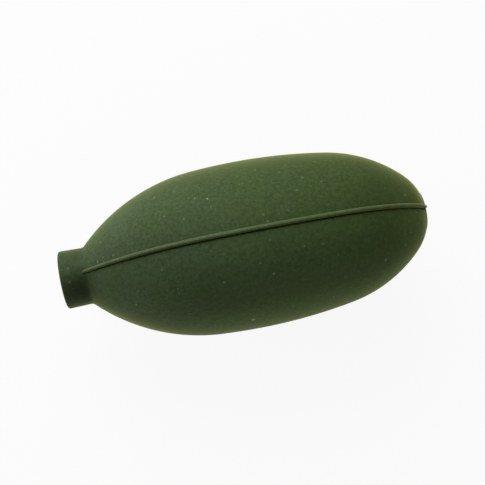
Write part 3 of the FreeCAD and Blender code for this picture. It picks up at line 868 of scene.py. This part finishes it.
class HANDBULB_OT_seam_beads(bpy.types.Operator):
    """Makes the two raised beads along the seam"""

    bl_idname = "handbulb.seam_beads"
    bl_label = "Seam beads"

    def execute(self, context):
        form, valve, bead = context.scene.bulb_form, context.scene.bulb_valve, context.scene.bulb_bead
        path = seam_path(context.scene)[1]
        group = bead_group()
        ridge = [direction(math.pi * i / RIDGE_STEPS) for i in range(RIDGE_STEPS + 1)]
        for side, sign in HEIGHTS.items():
            spots = []
            for spot in ridge:
                left = (spot.x - bead.lean * spot.y) * bead.width / 2 + bead.offset
                spots.append((-left, -sign * spot.y * bead.height, 0))
            right = bead.width / 2 - bead.offset
            floor_edge = (right + bead.groove) * (1 - bead.groove_depth / form.wall) - valve.clearance
            spots += [(spot, sign * bead.groove_depth, 0) for spot in (right, max(right, floor_edge))]
            profile = flat_curve("bead_profile", [*spots, (0, sign * bead.root, 0)], closed=True)
            line = flat_curve(f"{side}_bead_path", [(spot.x, 0, sign * spot.y) for spot in path])
            values = {
                "Start Scale": bead.start_scale,
                "Growth": bead.growth,
                "Rounding": bead.rounding,
                "Profile": profile,
                "Material": rubbed_and_highlit_surface(),
            }
            use_group(line, group, values)
            piece = baked(f"{side}_bead", line, rubbed_and_highlit_surface())
            bpy.data.objects.remove(profile)
            stand_for(piece, f"{side}_seam_bead")
        return {"FINISHED"}


class HANDBULB_OT_neck(bpy.types.Operator):
    """Makes the neck with its rounded rim, its bore and the flange inside the shoulder"""

    bl_idname = "handbulb.neck"
    bl_label = "Neck"

    def execute(self, context):
        form, valve = context.scene.bulb_form, context.scene.bulb_valve
        outline, outer = seam_path(context.scene)
        bore = frame["record"]["mounts"][0]["dims"]
        bore_radius, bore_length = bore["r_mm"] * MM, bore["length_mm"] * MM
        depth = form.wall + valve.gap
        recess = form.neck_root_radius - form.lip_round - valve.clearance
        root = outer[0]
        heel, edge = outline.spot(recess, -1, depth), outline.spot(form.neck_flange, -1, depth)
        corners = [
            (bore_length, bore_radius, 0),
            (0, bore_radius, form.lip_round),
            (0, form.neck_mouth_radius, form.neck_rim_round),
            (*root, 0),
            (root.x, recess, 0),
            (*heel, 0),
        ]
        shoulder = outline.circles[0]
        contact = arc_between(shoulder, heel, edge, form.mesh_step, depth)
        back = edge + (shoulder[0] - edge).normalized() * form.wall / 2
        section = distinct([*rounded(corners), *contact, back])
        piece = swept("neck_stub", section, rubber_surface(), form.skin_turns * 2)
        stand_for(piece, "neck_tube")
        return {"FINISHED"}


class HANDBULB_OT_valve_socket(bpy.types.Operator):
    """Makes the rubber socket whose lip stands round the valve"""

    bl_idname = "handbulb.valve_socket"
    bl_label = "Valve socket"

    def execute(self, context):
        form, valve = context.scene.bulb_form, context.scene.bulb_valve
        outline = Outline(form)
        inner, radius = low("valve_socket").x, high("valve_socket").z
        face = high("valve_socket").x + valve.socket_rise
        flange_back = high("valve_body").x - valve.flange_thickness - valve.clearance
        stem = valve.stem_radius + valve.clearance
        flange = high("valve_body").z + valve.clearance
        depth = form.wall + valve.gap
        corners = [
            (inner + valve.socket_bevel, radius, 0),
            (inner, radius - valve.socket_bevel, 0),
            (inner, stem, 0),
            (flange_back, stem, 0),
            (flange_back, flange, 0),
            (face, flange, form.lip_round),
            (face, valve.socket_face_radius, form.lip_round),
        ]
        collar = valve.socket_face_radius + valve.gap - valve.clearance
        step = outline.spot(collar, 1).x - valve.seam_depth
        corners += [(step, valve.socket_face_radius, 0), (step, collar, 0)]
        heel, edge = outline.spot(collar, 1, depth), outline.spot(radius, 1, depth)
        contact = arc_between(outline.circles[-1], heel, edge, form.mesh_step, depth)
        section = distinct([*rounded(corners), *contact])
        piece = swept("socket_ring", section, rubber_surface(), form.skin_turns)
        stand_for(piece, "valve_socket")
        return {"FINISHED"}


class HANDBULB_OT_valve_metal(bpy.types.Operator):
    """Makes the turned valve body and its slotted inlet ring, with their edges broken"""

    bl_idname = "handbulb.valve_metal"
    bl_label = "Valve metal"

    def execute(self, context):
        form, valve = context.scene.bulb_form, context.scene.bulb_valve
        lowest, highest = low("valve_body"), high("valve_body")
        face, flange = highest.x, highest.z
        floor = face - valve.recess_depth
        seat = floor - valve.seat_web
        cone_end = seat - (valve.chamber_radius - valve.seat_hole_radius)
        retainer = high("ball_retainer")
        pocket = retainer.z + valve.clearance
        barb_start = lowest.x + valve.barb_length
        edge = valve.edge
        corners = [
            (face, valve.recess_radius, edge),
            (face, flange, edge * 3),
            (face - valve.flange_thickness, flange, edge),
            (face - valve.flange_thickness, valve.stem_radius, 0),
            (barb_start, valve.stem_radius, 0),
            (barb_start, valve.stem_radius + valve.barb_height, edge),
            (lowest.x, valve.stem_radius, 0),
            (lowest.x, pocket, 0),
            (retainer.x + valve.clearance, pocket, 0),
            (retainer.x + valve.clearance, valve.chamber_radius, 0),
            (cone_end, valve.chamber_radius, 0),
            (seat, valve.seat_hole_radius, 0),
            (floor, valve.seat_hole_radius, 0),
            (floor, valve.recess_radius, 0),
        ]
        body = swept("valve_shell", rounded(corners), metal("satin_nickel"), form.skin_turns)
        stand_for(body, "valve_body")
        ring = broken_edges("inlet_ring", "inlet_cap", metal("satin_nickel"), edge)
        stand_for(ring, "inlet_cap")
        return {"FINISHED"}


def broken_edges(name, node, material, width):
    """A copy of a piece of the frame whose sharp edges are rounded off."""
    mesh = frame["nodes"][node].data.copy()
    work = bmesh.new()
    work.from_mesh(mesh)
    bmesh.ops.remove_doubles(work, verts=work.verts, dist=WELD)
    parts = {"verts": work.verts, "edges": work.edges}
    bmesh.ops.dissolve_limit(work, angle_limit=FLAT_ANGLE, delimit={"NORMAL"}, **parts)
    work.to_mesh(mesh)
    work.free()
    copy = add_object(f"{name}_source", mesh)
    bevel = copy.modifiers.new("edges", "BEVEL")
    bevel.width, bevel.segments = width, 3
    bevel.limit_method, bevel.angle_limit = "ANGLE", SHARP_ANGLE
    return baked(name, copy, material)


class HANDBULB_OT_dust_screen(bpy.types.Operator):
    """Weaves the dust screen behind the inlet ring"""

    bl_idname = "handbulb.dust_screen"
    bl_label = "Dust screen"

    def execute(self, context):
        valve = context.scene.bulb_valve
        screen, corner = high("dust_screen"), low("dust_screen")
        reach = screen.z - valve.wire_radius
        wires = 2 * math.floor(reach / valve.wire_pitch - 0.5) + 2
        group = gauze_group()
        middle = (screen.x + corner.x) / 2
        layers = []
        for crossing in (0.0, 1.0):
            holder = add_object("wires", bpy.data.meshes.new("wires"))
            values = {
                "Radius": reach,
                "Pitch": valve.wire_pitch,
                "Wire Radius": valve.wire_radius,
                "Wires": wires,
                "Crossing": crossing,
                "Material": metal("drawn_wire"),
            }
            use_group(holder, group, values)
            layer = baked(f"wire_layer_{crossing:.0f}", holder, metal("drawn_wire"))
            turned = Matrix.Rotation(math.pi / 2 * crossing, 4, "Z")
            facing = Matrix.Rotation(math.pi / 2, 4, "Y")
            layer.data.transform(Matrix.Translation((middle, 0, 0)) @ facing @ turned)
            layers.append(layer)
        with context.temp_override(active_object=layers[0], selected_editable_objects=layers):
            bpy.ops.object.join()
        layers[0].name = "dust_gauze"
        stand_for(layers[0], "dust_screen")
        return {"FINISHED"}


class HANDBULB_OT_valve_inside(bpy.types.Operator):
    """Gives the ball and its retainer their metals"""

    bl_idname = "handbulb.valve_inside"
    bl_label = "Ball and retainer"

    def execute(self, context):
        for node, name in (("valve_ball", "ball_steel"), ("ball_retainer", "stamped_brass")):
            dress(frame["nodes"][node].data, metal(name))
        return {"FINISHED"}


# --- stage ---


def seen_directly(tree):
    """1 for rays from the camera, reflections and glass, and 0 for the light that falls on things."""
    path = tree.node("ShaderNodeLightPath").outputs
    seen = tree.math("MAXIMUM", path["Is Camera Ray"], path["Is Glossy Ray"])
    return tree.math("MAXIMUM", seen, path["Is Transmission Ray"])


def white_floor(tree, spot):
    """A white floor that looks evenly lit but keeps the object's shadow."""
    stage = bpy.context.scene.bulb_stage
    matt = tree.out("ShaderNodeBsdfDiffuse", {"Color": (0.8, 0.8, 0.8)})
    glow = tree.out("ShaderNodeEmission", {"Color": WHITE, "Strength": 1.0})
    away = tree.size_of(spot)
    even = tree.span(away, stage.shadow_reach / 2, stage.shadow_reach, 1 - stage.shadow_share, 1.0)
    white = tree.times(seen_directly(tree), even)
    return tree.out("ShaderNodeMixShader", {0: white, 1: matt, 2: glow})


def make_world(stage):
    """White surroundings that light the object softly."""
    world = bpy.data.worlds.new("surroundings")
    bpy.context.scene.world = world
    world.use_nodes = True
    tree = Tree(world.node_tree)
    strength = tree.span(seen_directly(tree), 0.0, 1.0, stage.sky, 1.0)
    shader = tree.out("ShaderNodeBackground", {"Color": WHITE, "Strength": strength})
    tree.node("ShaderNodeOutputWorld", {"Surface": shader})


def make_lamp(name, aim, stage):
    """A soft square lamp that shines at a place from the direction that the stage gives it."""
    azimuth, height = getattr(stage, f"{name}_azimuth"), getattr(stage, f"{name}_height")
    level = math.cos(height)
    away = Vector((level * math.cos(azimuth), level * math.sin(azimuth), math.sin(height)))
    data = bpy.data.lights.new(name, "AREA")
    data.size, data.energy = stage.lamp_side, getattr(stage, f"{name}_power")
    lamp = add_object(name, data)
    lamp.location = aim + away * stage.lamp_distance
    lamp.rotation_euler = (-away).to_track_quat("-Z", "Y").to_euler()


def make_camera(stage):
    """A camera that looks down at the bulb, with the axis rising to the right in its picture."""
    axis = Vector((1, 0, 0))
    toward_camera = Vector((0, -math.sin(stage.seam_roll), math.cos(stage.seam_roll)))
    across = toward_camera.cross(axis)
    ahead = axis * math.sin(stage.yaw) - toward_camera * math.cos(stage.yaw)
    right = axis * math.cos(stage.yaw) + toward_camera * math.sin(stage.yaw)
    aim = (ahead * stage.camera_distance + right * stage.aim_right + across * stage.aim_up).normalized()
    across = (across - aim * across.dot(aim)).normalized()
    right = aim.cross(across)
    picture_right = right * math.cos(stage.tilt) - across * math.sin(stage.tilt)
    picture_up = right * math.sin(stage.tilt) + across * math.cos(stage.tilt)
    data = bpy.data.cameras.new("camera")
    data.lens = data.sensor_width * stage.camera_distance / stage.frame_side
    data.clip_start, data.clip_end = 0.01, 10
    camera = add_object("camera", data)
    turned = Matrix((picture_right, picture_up, -aim)).transposed().to_4x4()
    spot = axis * stage.camera_station + toward_camera * stage.camera_distance
    camera.matrix_world = Matrix.Translation(spot) @ turned
    bpy.context.scene.camera = camera


class HANDBULB_OT_stage(bpy.types.Operator):
    """Sets up the floor, the surroundings, the lamps and the camera"""

    bl_idname = "handbulb.stage"
    bl_label = "Stage"

    def execute(self, context):
        stage = context.scene.bulb_stage
        lowest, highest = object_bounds()
        middle = (lowest + highest) / 2
        mesh = bpy.data.meshes.new("floor")
        signs = ((-1, -1), (1, -1), (1, 1), (-1, 1))
        corners = [(x * FLOOR_HALF, y * FLOOR_HALF, lowest.z) for x, y in signs]
        mesh.from_pydata(corners, [], [(0, 1, 2, 3)])
        new_piece("floor", mesh, surface("white_floor", white_floor))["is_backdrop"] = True
        make_world(stage)
        for name in LAMPS:
            make_lamp(name, middle, stage)
        make_camera(stage)
        context.scene.view_settings.view_transform = "Standard"
        return {"FINISHED"}


# --- panel ---


OPERATORS = (
    HANDBULB_OT_wall_skins,
    HANDBULB_OT_seam_beads,
    HANDBULB_OT_neck,
    HANDBULB_OT_valve_socket,
    HANDBULB_OT_valve_metal,
    HANDBULB_OT_dust_screen,
    HANDBULB_OT_valve_inside,
    HANDBULB_OT_stage,
)
SETTINGS = {
    "bulb_form": BulbForm,
    "bulb_bead": BeadForm,
    "bulb_valve": ValveForm,
    "bulb_finish": Finish,
    "bulb_stage": StageForm,
}


class HANDBULB_PT_panel(bpy.types.Panel):
    """Lists the settings and the operators"""

    bl_idname = "HANDBULB_PT_panel"
    bl_label = "Hand bulb"
    bl_space_type = "VIEW_3D"
    bl_region_type = "UI"
    bl_category = "Hand bulb"

    def draw(self, context):
        for name, group in SETTINGS.items():
            box = self.layout.box()
            for field in group.__annotations__:
                box.prop(getattr(context.scene, name), field)
        for operator in OPERATORS:
            self.layout.operator(operator.bl_idname)


CLASSES = (*SETTINGS.values(), *OPERATORS, HANDBULB_PT_panel)


def register():
    """Adds the settings, the operators and the panel."""
    for item in CLASSES:
        bpy.utils.register_class(item)
    for name, group in SETTINGS.items():
        setattr(bpy.types.Scene, name, PointerProperty(type=group))


def unregister():
    """Takes them away again."""
    for name in SETTINGS:
        delattr(bpy.types.Scene, name)
    for item in reversed(CLASSES):
        bpy.utils.unregister_class(item)


def main():
    """Makes every piece and the stage."""
    register()
    for operator in OPERATORS:
        family, name = operator.bl_idname.split(".")
        getattr(getattr(bpy.ops, family), name)()


if __name__ == "__main__":
    main()
